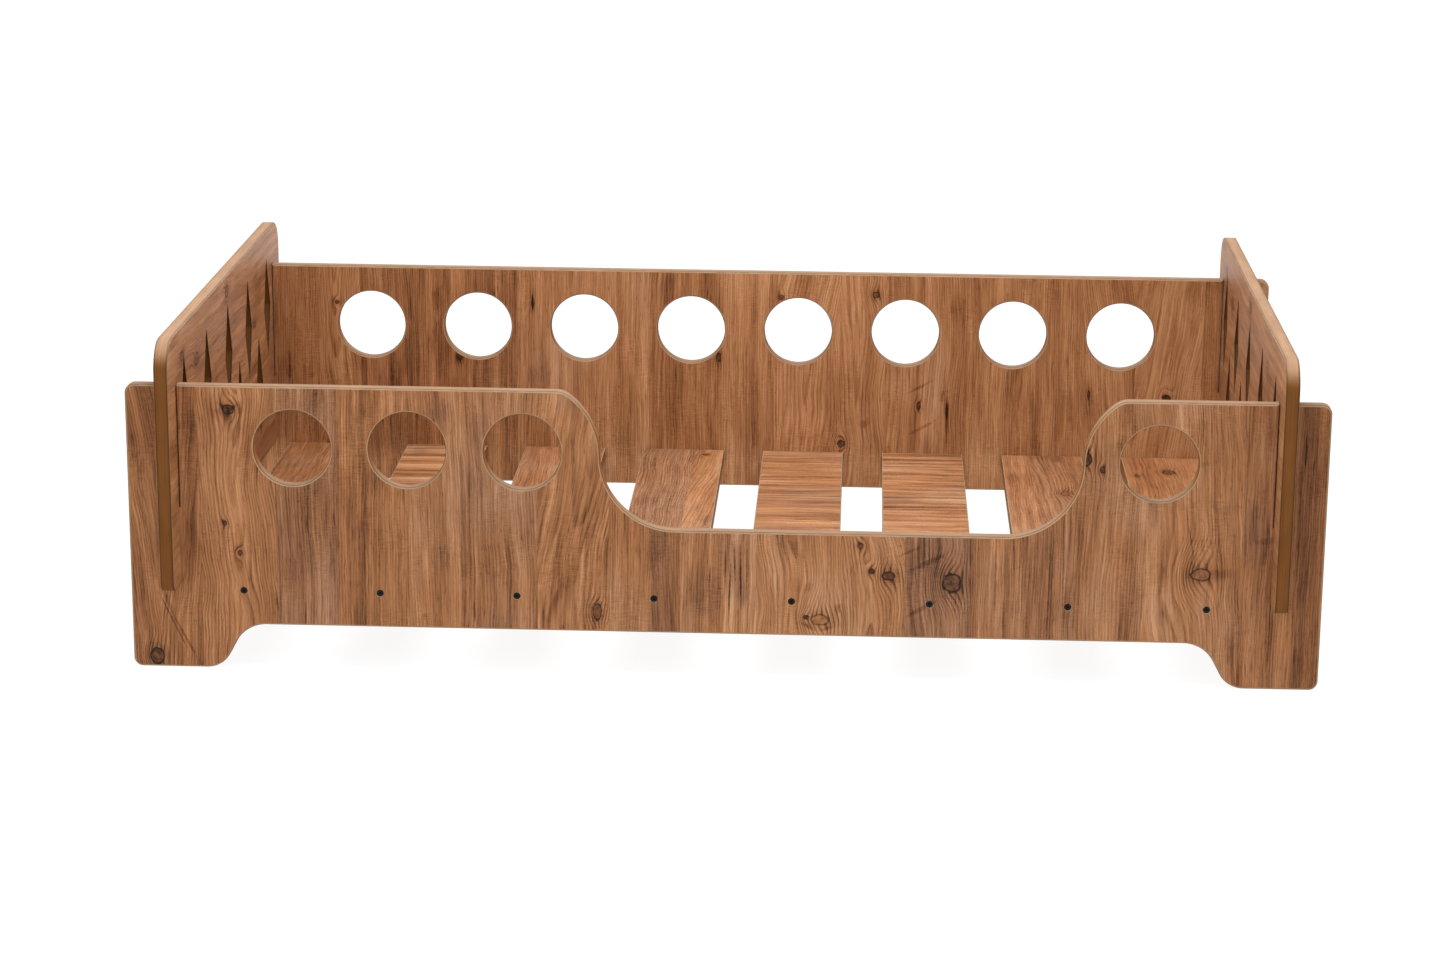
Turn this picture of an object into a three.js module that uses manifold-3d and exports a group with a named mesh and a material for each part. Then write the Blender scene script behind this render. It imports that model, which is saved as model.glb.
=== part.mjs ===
// Slot-together floor bed for a toddler, in millimetres.
//
// Two long side panels are joined by eight slats, each held by one countersunk screw at either end.
// Two end panels drop into slots in the side panels (cross-lap joints) and lift out without tools.
//
// Frame: origin on the floor in the middle of the footprint, +X along the bed, +Y from the entry
// side to the back, +Z up.
import * as THREE from 'three';
import { mergeVertices } from 'three/addons/utils/BufferGeometryUtils.js';
import Module from 'manifold-3d';

const wasm = await Module();
wasm.setup();

// ---- driving dimensions -------------------------------------------------------------------

const BOARD = 18;                 // thickness of every board
const INNER_LENGTH = 1410;        // sleeping space along X; the end panels sit just outside it
const INNER_WIDTH = 720;          // sleeping space along Y, between the side panels
const WING = 49;                  // how far every panel runs on past the panel that it crosses
const FIT_GAP = 0.3;              // clearance between two pieces that bear on each other

const FRONT_HEIGHT = 380;         // top edge of the entry side
const BACK_HEIGHT = 387;          // top edge of the back
const ARCH_HEIGHT = 60;           // underside of a side panel between its feet
const FOOT_LENGTH = 96;           // flat underside of each foot, with its rounded corner
const FOOT_ANGLE = 62;            // slope of the foot's inner edge, in degrees
const FOOT_TOE_RADIUS = 35;       // round at the bottom of that edge
const FOOT_ARCH_RADIUS = 45;      // round at the top of that edge
const CORNER_RADIUS = 12;         // outer corners of the side panels

const ENTRY_CENTRE = 150;         // middle of the entry cut-out along X
const ENTRY_WIDTH = 620;          // entry cut-out at its narrowest, between the upright edges
const ENTRY_SILL = 198;           // bottom of the entry cut-out
const ENTRY_ROUND = 98;           // both rounds of each S-shaped edge
const ENTRY_TOP_RADIUS = 30;      // round onto the top edge

const HOLE_RADIUS = 50;           // round peep holes
const HOLE_HEIGHT = 299;          // centre of the holes above the floor
const OUTER_HOLE_X = 557;         // outermost holes, from the middle of the bed
const FRONT_HOLE_PITCH = 148.7;
const FRONT_HOLES_LEFT = 3;       // holes between the entry and the left end
const FRONT_HOLES_RIGHT = 1;      // holes between the entry and the right end
const BACK_HOLES = 8;

const LAP_HEIGHT = 218;           // where the slots of crossing panels meet
const SLOT_WIDTH = 20;            // slots are a little wider than the board
const END_BOTTOM = 115;
const END_TOP = 445;
const END_TOP_RADIUS = 40;
const END_BOTTOM_RADIUS = 15;

const DIAMOND_WIDTH = 54;         // tall narrow cut-outs in the end panels
const DIAMOND_HEIGHT = 149;
const DIAMOND_PITCH = 158;
const DIAMOND_UPPER_CENTRE = 331; // two rows, staggered by half a pitch
const DIAMOND_LOWER_CENTRE = 230;
const DIAMONDS_UPPER = 5;
const DIAMONDS_LOWER = 4;

const SLATS = 8;
const SLAT_WIDTH = 120;
const SLAT_PITCH = 178.4;
const SLAT_TOP = 115;

const SCREW_LENGTH = 50;
const SCREW_RADIUS = 2.5;
const SCREW_HEAD_RADIUS = 4.4;
const SCREW_HEAD_RIM = 0.6;       // straight rim of the countersunk head
const SCREW_HEAD_SINK = 0.2;      // how far the head sits below the panel's face
const SCREW_POINT = 5;            // tapered end
const SCREW_TIP_RADIUS = 1.2;
const SOCKET_RADIUS = 1.9;        // hexagon socket, across its corners
const SOCKET_DEPTH = 2.2;

// ---- sizes worked out from them -----------------------------------------------------------

const SIDE_LENGTH = INNER_LENGTH + 2 * (BOARD + WING);
const END_LENGTH = INNER_WIDTH + 2 * (BOARD + WING);
const SIDE_CENTRE_Y = (INNER_WIDTH + BOARD) / 2;
const SLOT_CENTRE_X = (INNER_LENGTH + BOARD) / 2;
const END_CENTRE_X = SLOT_CENTRE_X + (SLOT_WIDTH - BOARD) / 2 - FIT_GAP;
const SIDE_FACE_Y = INNER_WIDTH / 2 + BOARD;
const SLAT_MIDDLE_Z = SLAT_TOP - BOARD / 2;

const CURVE_STEPS = 6;            // three.js draws an arc with twice as many straight steps
const SCREW_SIDES = 12;

// ---- materials ----------------------------------------------------------------------------

function wood(color) {
  return new THREE.MeshStandardMaterial({ color, roughness: 0.5, metalness: 0 });
}

const sideWood = wood(0xa77850);
const endWood = wood(0x9c6f52);
const slatWood = wood(0xb0805e);
const blackSteel = new THREE.MeshStandardMaterial({ color: 0x1c1a19, roughness: 0.45, metalness: 0.6 });

// ---- solids -------------------------------------------------------------------------------

const degrees = THREE.MathUtils.degToRad;

function toSolid(geometry) {
  const bare = geometry.index ? geometry.toNonIndexed() : geometry.clone();
  bare.deleteAttribute('normal');
  bare.deleteAttribute('uv');
  const merged = mergeVertices(bare, 1e-4);
  return new wasm.Manifold(new wasm.Mesh({
    numProp: 3,
    vertProperties: new Float32Array(merged.attributes.position.array),
    triVerts: new Uint32Array(merged.index.array),
  }));
}

function toGeometry(solid) {
  const mesh = solid.getMesh();
  const geometry = new THREE.BufferGeometry();
  geometry.setAttribute('position', new THREE.BufferAttribute(mesh.vertProperties, 3));
  geometry.setIndex(new THREE.BufferAttribute(mesh.triVerts, 1));
  geometry.computeVertexNormals();
  return geometry;
}

// Takes each cutter geometry away from the body geometry.
function cut(body, cutters) {
  let solid = toSolid(body);
  for (const cutter of cutters) {
    solid = solid.subtract(toSolid(cutter));
  }
  return toGeometry(solid);
}

// A board whose outline is drawn in (along, up), with its thickness centred on zero.
function board(outline) {
  const geometry = new THREE.ExtrudeGeometry(outline, {
    depth: BOARD,
    bevelEnabled: false,
    curveSegments: CURVE_STEPS,
  });
  geometry.translate(0, 0, -BOARD / 2);
  return geometry;
}

// A round cut-out of an outline, made of two half circles.
function roundHole(x, z, radius) {
  const hole = new THREE.Path();
  hole.absarc(x, z, radius, 0, -Math.PI, true);
  hole.absarc(x, z, radius, Math.PI, 0, true);
  return hole;
}

// ---- side panels --------------------------------------------------------------------------

// A slot cut down from the top edge, walked from right to left.
function slotFromTop(outline, centre, top) {
  outline.lineTo(centre + SLOT_WIDTH / 2, top);
  outline.lineTo(centre + SLOT_WIDTH / 2, LAP_HEIGHT - FIT_GAP);
  outline.lineTo(centre - SLOT_WIDTH / 2, LAP_HEIGHT - FIT_GAP);
  outline.lineTo(centre - SLOT_WIDTH / 2, top);
}

// The underside, from left to right: a foot, the raised arch, and the other foot.
function underside(outline) {
  const lean = degrees(FOOT_ANGLE);
  const rise = (radius) => radius * (1 - Math.cos(lean));
  const slopeRise = ARCH_HEIGHT - rise(FOOT_TOE_RADIUS) - rise(FOOT_ARCH_RADIUS);
  const run = (FOOT_TOE_RADIUS + FOOT_ARCH_RADIUS) * Math.sin(lean) + slopeRise / Math.tan(lean);
  const toeX = SIDE_LENGTH / 2 - FOOT_LENGTH;
  const archX = toeX - run;
  const quarter = Math.PI / 2;
  const archCentreZ = ARCH_HEIGHT - FOOT_ARCH_RADIUS;

  outline.absarc(-toeX, FOOT_TOE_RADIUS, FOOT_TOE_RADIUS, -quarter, lean - quarter, false);
  outline.absarc(-archX, archCentreZ, FOOT_ARCH_RADIUS, quarter + lean, quarter, true);
  outline.absarc(archX, archCentreZ, FOOT_ARCH_RADIUS, quarter, quarter - lean, true);
  outline.absarc(toeX, FOOT_TOE_RADIUS, FOOT_TOE_RADIUS, -quarter - lean, -quarter, false);
}

// One S-shaped edge of the entry, from the sill up to the top edge, measured from the entry's middle.
function entryEdge() {
  const edgeX = ENTRY_WIDTH / 2;
  const bendZ = ENTRY_SILL + ENTRY_ROUND;
  const topZ = FRONT_HEIGHT - ENTRY_TOP_RADIUS;
  const reach = ENTRY_ROUND - ENTRY_TOP_RADIUS;
  const shoulderX = edgeX + ENTRY_ROUND;
  const topX = shoulderX - Math.sqrt(reach ** 2 - (topZ - bendZ) ** 2);
  const meet = Math.PI - Math.asin((topZ - bendZ) / reach);
  const quarter = Math.PI / 2;

  const edge = new THREE.Path();
  edge.absarc(edgeX - ENTRY_ROUND, bendZ, ENTRY_ROUND, -quarter, 0, false);
  edge.absarc(shoulderX, bendZ, ENTRY_ROUND, Math.PI, meet, true);
  edge.absarc(topX, topZ, ENTRY_TOP_RADIUS, meet, quarter, true);
  return edge.getPoints(CURVE_STEPS);
}

// The entry cut-out, walked from right to left.
function entryCutOut(outline) {
  for (const point of entryEdge().reverse()) {
    outline.lineTo(ENTRY_CENTRE + point.x, point.y);
  }
  for (const point of entryEdge()) {
    outline.lineTo(ENTRY_CENTRE - point.x, point.y);
  }
}

// The outline of a side panel, anticlockwise from the left foot; entry says whether the top edge
// has the entry cut-out.
function sideOutline(top, entry, holes) {
  const end = SIDE_LENGTH / 2;
  const radius = CORNER_RADIUS;
  const quarter = Math.PI / 2;
  const outline = new THREE.Shape();
  outline.moveTo(-end + radius, 0);
  underside(outline);
  outline.absarc(end - radius, radius, radius, -quarter, 0, false);
  outline.absarc(end - radius, top - radius, radius, 0, quarter, false);
  slotFromTop(outline, SLOT_CENTRE_X, top);
  if (entry) {
    entryCutOut(outline);
  }
  slotFromTop(outline, -SLOT_CENTRE_X, top);
  outline.absarc(-end + radius, top - radius, radius, quarter, 2 * quarter, false);
  outline.absarc(-end + radius, radius, radius, 2 * quarter, 3 * quarter, false);
  for (const x of holes) {
    outline.holes.push(roundHole(x, HOLE_HEIGHT, HOLE_RADIUS));
  }
  return outline;
}

function frontHoleCentres() {
  const centres = [];
  for (let i = 0; i < FRONT_HOLES_LEFT; i += 1) {
    centres.push(-OUTER_HOLE_X + i * FRONT_HOLE_PITCH);
  }
  for (let i = 0; i < FRONT_HOLES_RIGHT; i += 1) {
    centres.push(OUTER_HOLE_X - i * FRONT_HOLE_PITCH);
  }
  return centres;
}

function backHoleCentres() {
  const pitch = 2 * OUTER_HOLE_X / (BACK_HOLES - 1);
  return Array.from({ length: BACK_HOLES }, (_, i) => -OUTER_HOLE_X + i * pitch);
}

// ---- end panels ---------------------------------------------------------------------------

function diamond(along, z) {
  const hole = new THREE.Path();
  hole.moveTo(along, z + DIAMOND_HEIGHT / 2);
  hole.lineTo(along + DIAMOND_WIDTH / 2, z);
  hole.lineTo(along, z - DIAMOND_HEIGHT / 2);
  hole.lineTo(along - DIAMOND_WIDTH / 2, z);
  hole.closePath();
  return hole;
}

// A slot cut up from the bottom edge, walked from left to right.
function slotFromBottom(outline, centre) {
  outline.lineTo(centre - SLOT_WIDTH / 2, END_BOTTOM);
  outline.lineTo(centre - SLOT_WIDTH / 2, LAP_HEIGHT);
  outline.lineTo(centre + SLOT_WIDTH / 2, LAP_HEIGHT);
  outline.lineTo(centre + SLOT_WIDTH / 2, END_BOTTOM);
}

function endOutline() {
  const end = END_LENGTH / 2;
  const low = END_BOTTOM_RADIUS;
  const high = END_TOP_RADIUS;
  const quarter = Math.PI / 2;
  const outline = new THREE.Shape();
  outline.moveTo(-end + low, END_BOTTOM);
  slotFromBottom(outline, -SIDE_CENTRE_Y);
  slotFromBottom(outline, SIDE_CENTRE_Y);
  outline.absarc(end - low, END_BOTTOM + low, low, -quarter, 0, false);
  outline.absarc(end - high, END_TOP - high, high, 0, quarter, false);
  outline.absarc(-end + high, END_TOP - high, high, quarter, 2 * quarter, false);
  outline.absarc(-end + low, END_BOTTOM + low, low, 2 * quarter, 3 * quarter, false);
  const rows = [[DIAMONDS_UPPER, DIAMOND_UPPER_CENTRE], [DIAMONDS_LOWER, DIAMOND_LOWER_CENTRE]];
  for (const [count, z] of rows) {
    for (let i = 0; i < count; i += 1) {
      outline.holes.push(diamond((i - (count - 1) / 2) * DIAMOND_PITCH, z));
    }
  }
  return outline;
}

// ---- screws -------------------------------------------------------------------------------

// A countersunk screw, or with a gap the hole that it goes in. It points along -Y from its head.
function screwBody(gap) {
  const head = SCREW_HEAD_RADIUS + gap;
  const shank = SCREW_RADIUS + gap;
  const coneDepth = SCREW_HEAD_RADIUS - SCREW_RADIUS;
  const top = gap > 0 ? 2 * SCREW_HEAD_SINK : 0;
  const tip = -SCREW_LENGTH - gap;
  const profile = [
    new THREE.Vector2(0, tip),
    new THREE.Vector2(SCREW_TIP_RADIUS + gap, tip),
    new THREE.Vector2(shank, tip + SCREW_POINT),
    new THREE.Vector2(shank, -SCREW_HEAD_RIM - coneDepth - gap),
    new THREE.Vector2(head, -SCREW_HEAD_RIM - gap),
    new THREE.Vector2(head, top),
    new THREE.Vector2(0, top),
  ];
  return new THREE.LatheGeometry(profile, SCREW_SIDES);
}

function screwGeometry() {
  const socket = new THREE.CylinderGeometry(SOCKET_RADIUS, SOCKET_RADIUS, 2 * SOCKET_DEPTH, 6);
  return cut(screwBody(0), [socket]);
}

// Turns and moves a screw, or its hole, so that it enters a slat's end through the side panel:
// side -1 is the entry side, +1 the back.
function slatEnd(x, side) {
  const turn = side < 0 ? Math.PI : 0;
  const place = new THREE.Matrix4().makeRotationZ(turn);
  return place.setPosition(x, side * (SIDE_FACE_Y - SCREW_HEAD_SINK), SLAT_MIDDLE_Z);
}

function screwHoles(xs, side) {
  return xs.map((x) => screwBody(FIT_GAP).applyMatrix4(slatEnd(x, side)));
}

// ---- assembly -----------------------------------------------------------------------------

const bed = new THREE.Group();

function add(name, geometry, material) {
  const mesh = new THREE.Mesh(geometry, material);
  mesh.name = name;
  bed.add(mesh);
  return mesh;
}

const slatCentres = Array.from({ length: SLATS }, (_, i) => (i - (SLATS - 1) / 2) * SLAT_PITCH);

function addSidePanel(name, side, outline) {
  const geometry = board(outline);
  geometry.rotateX(Math.PI / 2);
  geometry.translate(0, side * SIDE_CENTRE_Y, 0);
  add(name, cut(geometry, screwHoles(slatCentres, side)), sideWood);
}

function addEndPanel(name, side) {
  const geometry = board(endOutline());
  geometry.rotateX(Math.PI / 2);
  geometry.rotateZ(Math.PI / 2);
  geometry.translate(side * END_CENTRE_X, 0, 0);
  add(name, geometry, endWood);
}

function addSlat(name, x) {
  const geometry = new THREE.BoxGeometry(SLAT_WIDTH, INNER_WIDTH - 2 * FIT_GAP, BOARD);
  geometry.translate(x, 0, SLAT_MIDDLE_Z);
  add(name, cut(geometry, [...screwHoles([x], -1), ...screwHoles([x], 1)]), slatWood);
}

addSidePanel('front_side_panel', -1, sideOutline(FRONT_HEIGHT, true, frontHoleCentres()));
addSidePanel('back_side_panel', 1, sideOutline(BACK_HEIGHT, false, backHoleCentres()));
addEndPanel('left_end_panel', -1);
addEndPanel('right_end_panel', 1);

slatCentres.forEach((x, i) => {
  addSlat(`slat_${i + 1}`, x);
  for (const [where, side] of [['front', -1], ['back', 1]]) {
    add(`${where}_screw_${i + 1}`, screwGeometry(), blackSteel).applyMatrix4(slatEnd(x, side));
  }
});

export default bed;
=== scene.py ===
"""Looks of the slot-together toddler floor bed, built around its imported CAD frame.

Metres, in the frame of the CAD: origin on the floor in the middle of the footprint, +X along the bed,
+Y from the entry side to the back, +Z up.
"""
import math
import random

import bmesh
import bpy
from mathutils import Matrix, Vector
from mathutils.geometry import tessellate_polygon


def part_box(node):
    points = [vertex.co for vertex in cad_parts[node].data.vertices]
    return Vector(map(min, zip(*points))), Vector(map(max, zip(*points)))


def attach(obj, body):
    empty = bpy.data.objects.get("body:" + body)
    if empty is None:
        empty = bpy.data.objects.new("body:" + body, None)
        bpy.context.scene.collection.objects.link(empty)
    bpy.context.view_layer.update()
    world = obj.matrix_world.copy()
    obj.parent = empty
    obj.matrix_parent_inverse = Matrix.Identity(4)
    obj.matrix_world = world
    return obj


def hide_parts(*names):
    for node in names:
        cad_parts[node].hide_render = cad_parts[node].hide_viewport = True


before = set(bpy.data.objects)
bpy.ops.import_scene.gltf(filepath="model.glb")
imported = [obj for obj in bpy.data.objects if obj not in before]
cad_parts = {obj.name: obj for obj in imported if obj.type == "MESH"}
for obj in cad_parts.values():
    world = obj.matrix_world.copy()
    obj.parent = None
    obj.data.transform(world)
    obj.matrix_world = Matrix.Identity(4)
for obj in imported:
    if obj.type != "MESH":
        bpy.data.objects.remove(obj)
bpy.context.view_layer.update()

# ---- shape of the boards, as in the CAD but for the slots and the rounded edges ----

BOARD = 0.018
CORNER_RADIUS = 0.012
ARCH_HEIGHT = 0.060
FOOT_LENGTH = 0.096
FOOT_ANGLE = math.radians(62)
FOOT_TOE_RADIUS = 0.035
FOOT_ARCH_RADIUS = 0.045

ENTRY_CENTRE = 0.150
ENTRY_WIDTH = 0.620
ENTRY_SILL = 0.198
ENTRY_ROUND = 0.098
ENTRY_TOP_RADIUS = 0.030

HOLE_RADIUS = 0.050
HOLE_HEIGHT = 0.299
OUTER_HOLE_X = 0.557
FRONT_HOLE_PITCH = 0.1487
BACK_HOLES = 8

SLOT_CENTRE_X = 0.7142            # drawn 0.2 mm further out than in the CAD
SLOT_WIDTH = 0.0195               # as tight as the photo shows; the CAD's slots are 0.5 mm wider
SLOT_FLOOR = 0.2177
LAP_HEIGHT = 0.218
SIDE_CENTRE_Y = 0.369
END_TOP_RADIUS = 0.040
END_BOTTOM_RADIUS = 0.015

DIAMOND_WIDTH = 0.054
DIAMOND_HEIGHT = 0.149
DIAMOND_PITCH = 0.158
DIAMOND_ROWS = ((5, 0.331), (4, 0.230))
DIAMOND_CUTTER_RADIUS = 0.0012

SLATS = 8
SCREW_HOLE_RADIUS = 0.0047
SCREW_BORE_RADIUS = 0.0028
SCREW_HOLE_BREAK = 0.0002         # the broken edge round a screw's hole
SCREW_SEAT_DEPTH = 0.0009
SCREW_CONE_DEPTH = 0.0030

ROUNDING = 0.0022                 # routed edges
SLOT_ROUNDING = 0.0007            # edges of the slots and the slats' ends, only broken
FINE_ROUNDING = 0.0010            # edges of the slats and the diamonds
ROUNDING_STEPS = 4
SLOT_FADE = 0.004                 # length over which the rounding dies out towards a slot
CHORD_ERROR = 0.00004             # how far a drawn arc may lie from the true one
SHARP_TURN = math.radians(30)
SAME_POINT = 0.000001             # points nearer than this are one
QUARTER = math.pi / 2

# ---- outlines ----
# An outline is a list of (along, up, rounding) with the board on its left as it is walked.


def arc(centre, radius, start, end, rounding=ROUNDING):
    step = 2 * math.acos(1 - CHORD_ERROR / radius)
    count = max(3, math.ceil(abs(end - start) / step))
    angles = (start + (end - start) * i / count for i in range(count + 1))
    return [(centre[0] + radius * math.cos(a), centre[1] + radius * math.sin(a), rounding)
            for a in angles]


def without_repeats(points):
    kept = []
    for point in points:
        if not kept or math.dist(point[:2], kept[-1][:2]) > SAME_POINT:
            kept.append(point)
    if math.dist(kept[0][:2], kept[-1][:2]) < SAME_POINT:
        kept.pop()
    return kept


def slot_cut(centre, mouth, floor, side):
    """A slot down from a top edge, walked from right to left (side 1), or up from a bottom edge,
    walked from left to right (side -1)."""
    half = SLOT_WIDTH / 2
    steps = ((half + SLOT_FADE, mouth, ROUNDING), (half, mouth, SLOT_ROUNDING),
             (half, floor, SLOT_ROUNDING))
    return ([(centre + side * x, z, rounding) for x, z, rounding in steps]
            + [(centre - side * x, z, rounding) for x, z, rounding in reversed(steps)])


def underside(end):
    """The lower edge of a side panel, from left to right: a foot, the raised arch, the other foot."""
    drop = 1 - math.cos(FOOT_ANGLE)
    slope_rise = ARCH_HEIGHT - (FOOT_TOE_RADIUS + FOOT_ARCH_RADIUS) * drop
    run = (FOOT_TOE_RADIUS + FOOT_ARCH_RADIUS) * math.sin(FOOT_ANGLE)
    run += slope_rise / math.tan(FOOT_ANGLE)
    toe = end - FOOT_LENGTH
    arch = toe - run
    arch_up = ARCH_HEIGHT - FOOT_ARCH_RADIUS
    return (arc((-toe, FOOT_TOE_RADIUS), FOOT_TOE_RADIUS, -QUARTER, FOOT_ANGLE - QUARTER)
            + arc((-arch, arch_up), FOOT_ARCH_RADIUS, QUARTER + FOOT_ANGLE, QUARTER)
            + arc((arch, arch_up), FOOT_ARCH_RADIUS, QUARTER, QUARTER - FOOT_ANGLE)
            + arc((toe, FOOT_TOE_RADIUS), FOOT_TOE_RADIUS, -QUARTER - FOOT_ANGLE, -QUARTER))


def entry(top):
    """The entry cut-out, walked from right to left: two S-shaped edges and the sill between."""
    edge = ENTRY_WIDTH / 2
    bend = ENTRY_SILL + ENTRY_ROUND
    fillet = top - ENTRY_TOP_RADIUS
    reach = ENTRY_ROUND - ENTRY_TOP_RADIUS
    shoulder = edge + ENTRY_ROUND
    fillet_x = shoulder - math.sqrt(reach ** 2 - (fillet - bend) ** 2)
    meet = math.pi - math.asin((fillet - bend) / reach)
    right = (arc((fillet_x, fillet), ENTRY_TOP_RADIUS, QUARTER, meet)
             + arc((shoulder, bend), ENTRY_ROUND, meet, math.pi)
             + arc((edge - ENTRY_ROUND, bend), ENTRY_ROUND, 0, -QUARTER))
    left = [(-x, z, rounding) for x, z, rounding in reversed(right)]
    return [(ENTRY_CENTRE + x, z, rounding) for x, z, rounding in right + left]


def side_outline(end, top, has_entry):
    radius = CORNER_RADIUS
    points = underside(end)
    points += arc((end - radius, radius), radius, -QUARTER, 0)
    points += arc((end - radius, top - radius), radius, 0, QUARTER)
    points += slot_cut(SLOT_CENTRE_X, top, SLOT_FLOOR, 1)
    if has_entry:
        points += entry(top)
    points += slot_cut(-SLOT_CENTRE_X, top, SLOT_FLOOR, 1)
    points += arc((radius - end, top - radius), radius, QUARTER, 2 * QUARTER)
    points += arc((radius - end, radius), radius, 2 * QUARTER, 3 * QUARTER)
    return without_repeats(points)


def end_outline(end, bottom, top):
    low = END_BOTTOM_RADIUS
    high = END_TOP_RADIUS
    points = slot_cut(-SIDE_CENTRE_Y, bottom, LAP_HEIGHT, -1)
    points += slot_cut(SIDE_CENTRE_Y, bottom, LAP_HEIGHT, -1)
    points += arc((end - low, bottom + low), low, -QUARTER, 0)
    points += arc((end - high, top - high), high, 0, QUARTER)
    points += arc((high - end, top - high), high, QUARTER, 2 * QUARTER)
    points += arc((low - end, bottom + low), low, 2 * QUARTER, 3 * QUARTER)
    return without_repeats(points)


def round_hole(along, up, radius, rounding=ROUNDING):
    return without_repeats(arc((along, up), radius, 0, -2 * math.pi, rounding))


def diamond(along, up):
    """A tall narrow cut-out, clockwise, whose corners keep the small radius of the cutter."""
    corners = [Vector((0, DIAMOND_HEIGHT / 2)), Vector((DIAMOND_WIDTH / 2, 0)),
               Vector((0, -DIAMOND_HEIGHT / 2)), Vector((-DIAMOND_WIDTH / 2, 0))]
    points = []
    for i, corner in enumerate(corners):
        before = (corners[i - 1] - corner).normalized()
        after = (corners[(i + 1) % 4] - corner).normalized()
        half = before.angle(after) / 2
        middle = corner + (before + after).normalized() * DIAMOND_CUTTER_RADIUS / math.sin(half)
        turn = math.pi - 2 * half
        facing = math.atan2(-(before + after).y, -(before + after).x)
        points += arc((along + middle.x, up + middle.y), DIAMOND_CUTTER_RADIUS,
                      facing + turn / 2, facing - turn / 2, FINE_ROUNDING)
    return without_repeats(points)


# ---- boards ----

# The last slot holds painted shade: a dark edge for the walls of cut-outs, slots and the slats' ends.
PRINT_UP, PRINT_DOWN, EDGE, PAINTED_SHADE_SLOT = range(4)   # material slots of a board
HIDDEN_SHIFT = (3.1, 1.7)         # so that a board's two faces differ
OUTLINE_SHIFT = 0.5               # so that the edges of a board's outlines differ


def mitres(outline):
    """How far each point moves, per metre of inset, to stay on both of its edges' insets, and how
    far the outline turns there."""
    moves = []
    for i, point in enumerate(outline):
        here = Vector(point[:2])
        before = (here - Vector(outline[i - 1][:2])).normalized()
        after = (Vector(outline[(i + 1) % len(outline)][:2]) - here).normalized()
        first = Vector((-before.y, before.x))
        second = Vector((-after.y, after.x))
        moves.append(((first + second) / (1 + first.dot(second)), before.angle(after)))
    return moves


def rounded_profile():
    """(inset, depth) pairs in units of the rounding, from the printed face to the edge."""
    steps = (QUARTER * i / ROUNDING_STEPS for i in range(ROUNDING_STEPS + 1))
    return [(1 - math.sin(a), 1 - math.cos(a)) for a in steps]


def edge_rings(outline, moves):
    """Rings of (along, up, depth below the upper face), from the upper face to the lower one."""
    rings = []
    for inset, depth in rounded_profile():
        rings.append([(x + m.x * inset * r, y + m.y * inset * r, depth * r)
                      for (x, y, r), (m, _) in zip(outline, moves)])
    lower = [[(x, y, BOARD - depth) for x, y, depth in ring] for ring in reversed(rings)]
    return rings + lower


def countersink_rings(outline, moves, from_lower):
    """A screw's hole: the seat of its head, a cone and a plain bore."""
    bore = SCREW_BORE_RADIUS - SCREW_HOLE_RADIUS
    steps = [(SCREW_HOLE_BREAK, 0), (0, SCREW_HOLE_BREAK), (0, SCREW_SEAT_DEPTH),
             (bore, SCREW_CONE_DEPTH), (bore, BOARD)]
    if from_lower:
        steps = [(inset, BOARD - depth) for inset, depth in reversed(steps)]
    return [[(x + m.x * inset, y + m.y * inset, depth)
             for (x, y, _), (m, _) in zip(outline, moves)] for inset, depth in steps]


def object_from(mesh, name):
    data = bpy.data.meshes.new(name)
    mesh.to_mesh(data)
    mesh.free()
    made = bpy.data.objects.new(name, data)
    bpy.context.scene.collection.objects.link(made)
    return made


def add_walls(mesh, grain, rings, depths, runs, slots):
    """The faces from each ring to the next. Each takes the material slot of the point it ends at."""
    count = len(slots)
    for k in range(len(rings) - 1):
        for i in range(count):
            j = (i + 1) % count
            face = mesh.faces.new((rings[k][i], rings[k + 1][i], rings[k + 1][j], rings[k][j]))
            face.material_index = slots[j]
            face.smooth = True
            corners = ((runs[i], depths[k][i]), (runs[i], depths[k + 1][i]),
                       (runs[i + 1], depths[k + 1][j]), (runs[i + 1], depths[k][j]))
            for loop, uv in zip(face.loops, corners):
                loop[grain].uv = uv


def sharpen(mesh, rings, moves):
    """Keeps the rims of both faces and the outline's sharp corners crisp."""
    for i, (_, turn) in enumerate(moves):
        for ring in (rings[0], rings[-1]):
            mesh.edges.get((ring[i], ring[(i + 1) % len(ring)])).smooth = False
        if turn > SHARP_TURN:
            for upper, lower in zip(rings, rings[1:]):
                mesh.edges.get((upper[i], lower[i])).smooth = False


def add_printed_face(mesh, grain, loops, slot, shift, grain_along_first):
    """A face with its holes. Each loop is a list of (vertex, its place on the board)."""
    flat = [pair for loop in loops for pair in loop]
    triangles = tessellate_polygon([[Vector((p.x, p.y, 0)) for _, p in loop] for loop in loops])
    for triangle in triangles:
        face = mesh.faces.new([flat[i][0] for i in triangle])
        face.material_index = slot
        for loop, i in zip(face.loops, triangle):
            along, up = flat[i][1].x, flat[i][1].y
            across, length = (up, along) if grain_along_first else (along, up)
            loop[grain].uv = (across + shift[0], length + shift[1])


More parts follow.
